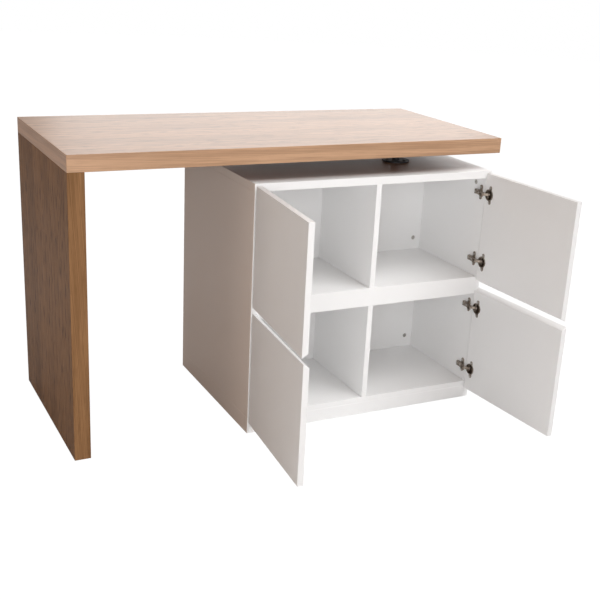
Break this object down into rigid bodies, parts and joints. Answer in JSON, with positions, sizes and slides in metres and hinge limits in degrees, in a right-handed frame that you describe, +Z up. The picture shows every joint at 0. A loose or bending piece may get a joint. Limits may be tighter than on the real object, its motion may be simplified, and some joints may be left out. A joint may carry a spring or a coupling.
{
  "type": "bar table",
  "caption": "Counter-height bar table: a wood worktop with one panel leg swivels on a white storage cabinet with open shelves and hinged doors.",
  "frame": {"origin": "on the floor, under the middle of the cabinet's base", "axes": "+X along the worktop, away from its leg panel; +Y from the doors to the back; +Z up"},
  "size_m": [1.404, 1.0491, 0.9],
  "materials": {
    "zinc_plated_fastener": "bright zinc plate",
    "hinge_nickel": "warm nickel plate on pressed steel",
    "swivel_black_metal": "black powder coat",
    "swivel_black_screw": "blackened steel",
    "nylon_washer": "natural nylon",
    "worktop_ash_veneer": "satin lacquered light ash veneer, grain along the top",
    "leg_ash_veneer": "satin lacquered ash veneer, grain upright",
    "beech_dowel": "plain fluted beech",
    "felt_grey_glide": "grey glide",
    "door_white_lacquer": "satin white lacquer",
    "cabinet_white_lacquer": "glossy white lacquer"
  },
  "bodies": {
    "cabinet": {"arm_clamp_screws": "zinc_plated_fastener", "back_panel": "cabinet_white_lacquer", "base_front_rail": "cabinet_white_lacquer", "base_left_rail": "cabinet_white_lacquer", "base_middle_rail": "cabinet_white_lacquer", "base_rear_rail": "cabinet_white_lacquer", "base_right_rail": "cabinet_white_lacquer", "bottom_panel": "cabinet_white_lacquer", "cam_locks": "zinc_plated_fastener", "hinge_mounting_plates": "hinge_nickel", "left_side_panel": "cabinet_white_lacquer", "lower_divider": "cabinet_white_lacquer", "lower_left_bottom_hinge_arm": "hinge_nickel", "lower_left_top_hinge_arm": "hinge_nickel", "lower_right_bottom_hinge_arm": "hinge_nickel", "lower_right_top_hinge_arm": "hinge_nickel", "middle_shelf": "cabinet_white_lacquer", "mounting_plate_screws": "zinc_plated_fastener", "right_side_panel": "cabinet_white_lacquer", "swivel_lower_screws": "swivel_black_screw", "swivel_post": "swivel_black_metal", "swivel_washer": "nylon_washer", "top_panel": "cabinet_white_lacquer", "upper_divider": "cabinet_white_lacquer", "upper_left_bottom_hinge_arm": "hinge_nickel", "upper_left_top_hinge_arm": "hinge_nickel", "upper_right_bottom_hinge_arm": "hinge_nickel", "upper_right_top_hinge_arm": "hinge_nickel"},
    "tabletop": {"worktop": "worktop_ash_veneer", "leg_panel": "leg_ash_veneer", "leg_glides": "felt_grey_glide", "leg_dowels": "beech_dowel", "swivel_sleeve": "swivel_black_metal", "swivel_upper_screws": "swivel_black_screw"},
    "upper_left_outer_link_pair": {"upper_left_outer_links": "hinge_nickel"},
    "upper_left_inner_link_pair": {"upper_left_inner_links": "hinge_nickel"},
    "upper_left_leaf": {"upper_left_door": "door_white_lacquer", "upper_left_cup_screws": "zinc_plated_fastener", "upper_left_top_hinge_cup": "hinge_nickel", "upper_left_bottom_hinge_cup": "hinge_nickel"},
    "lower_left_outer_link_pair": {"lower_left_outer_links": "hinge_nickel"},
    "lower_left_inner_link_pair": {"lower_left_inner_links": "hinge_nickel"},
    "lower_left_leaf": {"lower_left_door": "door_white_lacquer", "lower_left_cup_screws": "zinc_plated_fastener", "lower_left_top_hinge_cup": "hinge_nickel", "lower_left_bottom_hinge_cup": "hinge_nickel"},
    "upper_right_outer_link_pair": {"upper_right_outer_links": "hinge_nickel"},
    "upper_right_inner_link_pair": {"upper_right_inner_links": "hinge_nickel"},
    "upper_right_leaf": {"upper_right_door": "door_white_lacquer", "upper_right_cup_screws": "zinc_plated_fastener", "upper_right_top_hinge_cup": "hinge_nickel", "upper_right_bottom_hinge_cup": "hinge_nickel"},
    "lower_right_outer_link_pair": {"lower_right_outer_links": "hinge_nickel"},
    "lower_right_inner_link_pair": {"lower_right_inner_links": "hinge_nickel"},
    "lower_right_leaf": {"lower_right_door": "door_white_lacquer", "lower_right_cup_screws": "zinc_plated_fastener", "lower_right_top_hinge_cup": "hinge_nickel", "lower_right_bottom_hinge_cup": "hinge_nickel"}
  },
  "joints": [
    {"name": "worktop_swivel", "type": "hinge", "parent": "cabinet", "child": "tabletop", "pos_m": [0.184, -0.078, 0.796], "axis": [0, 0, 1], "continuous": true},
    {"name": "upper_left_outer_link_turn", "type": "hinge", "parent": "cabinet", "child": "upper_left_outer_link_pair", "pos_m": [-0.3842, -0.2893, 0.609], "axis": [0, 0, 1], "range_deg": [-26.38, 2.45]},
    {"name": "upper_left_inner_link_turn", "type": "hinge", "parent": "cabinet", "child": "upper_left_inner_link_pair", "pos_m": [-0.3852, -0.3019, 0.609], "axis": [0, 0, 1], "range_deg": [-18.76, 1.74]},
    {"name": "upper_left_door_swing", "type": "hinge", "parent": "upper_left_outer_link_pair", "child": "upper_left_leaf", "pos_m": [-0.40063, -0.30861, 0.609], "axis": [0, 0, 1], "range_deg": [-11.24, 121.57]},
    {"name": "lower_left_outer_link_turn", "type": "hinge", "parent": "cabinet", "child": "lower_left_outer_link_pair", "pos_m": [-0.3842, -0.2893, 0.223], "axis": [0, 0, 1], "range_deg": [-26.16, 2.67]},
    {"name": "lower_left_inner_link_turn", "type": "hinge", "parent": "cabinet", "child": "lower_left_inner_link_pair", "pos_m": [-0.3852, -0.3019, 0.223], "axis": [0, 0, 1], "range_deg": [-18.61, 1.9]},
    {"name": "lower_left_door_swing", "type": "hinge", "parent": "lower_left_outer_link_pair", "child": "lower_left_leaf", "pos_m": [-0.40071, -0.30854, 0.223], "axis": [0, 0, 1], "range_deg": [-12.26, 120.55]},
    {"name": "upper_right_outer_link_turn", "type": "hinge", "parent": "cabinet", "child": "upper_right_outer_link_pair", "pos_m": [0.3842, -0.2893, 0.609], "axis": [0, 0, 1], "range_deg": [-3.14, 25.69]},
    {"name": "upper_right_inner_link_turn", "type": "hinge", "parent": "cabinet", "child": "upper_right_inner_link_pair", "pos_m": [0.3852, -0.3019, 0.609], "axis": [0, 0, 1], "range_deg": [-2.24, 18.27]},
    {"name": "upper_right_door_swing", "type": "hinge", "parent": "upper_right_outer_link_pair", "child": "upper_right_leaf", "pos_m": [0.40087, -0.30841, 0.609], "axis": [0, 0, 1], "range_deg": [-118.38, 14.43]},
    {"name": "lower_right_outer_link_turn", "type": "hinge", "parent": "cabinet", "child": "lower_right_outer_link_pair", "pos_m": [0.3842, -0.2893, 0.223], "axis": [0, 0, 1], "range_deg": [-2.73, 26.1]},
    {"name": "lower_right_inner_link_turn", "type": "hinge", "parent": "cabinet", "child": "lower_right_inner_link_pair", "pos_m": [0.3852, -0.3019, 0.223], "axis": [0, 0, 1], "range_deg": [-1.94, 18.57]},
    {"name": "lower_right_door_swing", "type": "hinge", "parent": "lower_right_outer_link_pair", "child": "lower_right_leaf", "pos_m": [0.40073, -0.30853, 0.223], "axis": [0, 0, 1], "range_deg": [-120.29, 12.52]}
  ],
  "couplings": [
    {"joint": "upper_left_outer_link_turn", "follows": "upper_left_door_swing", "ratio": -0.21691},
    {"joint": "upper_left_inner_link_turn", "follows": "upper_left_door_swing", "ratio": -0.15427},
    {"joint": "lower_left_outer_link_turn", "follows": "lower_left_door_swing", "ratio": -0.21691},
    {"joint": "lower_left_inner_link_turn", "follows": "lower_left_door_swing", "ratio": -0.15427},
    {"joint": "upper_right_outer_link_turn", "follows": "upper_right_door_swing", "ratio": -0.21691},
    {"joint": "upper_right_inner_link_turn", "follows": "upper_right_door_swing", "ratio": -0.15427},
    {"joint": "lower_right_outer_link_turn", "follows": "lower_right_door_swing", "ratio": -0.21691},
    {"joint": "lower_right_inner_link_turn", "follows": "lower_right_door_swing", "ratio": -0.15427}
  ]
}
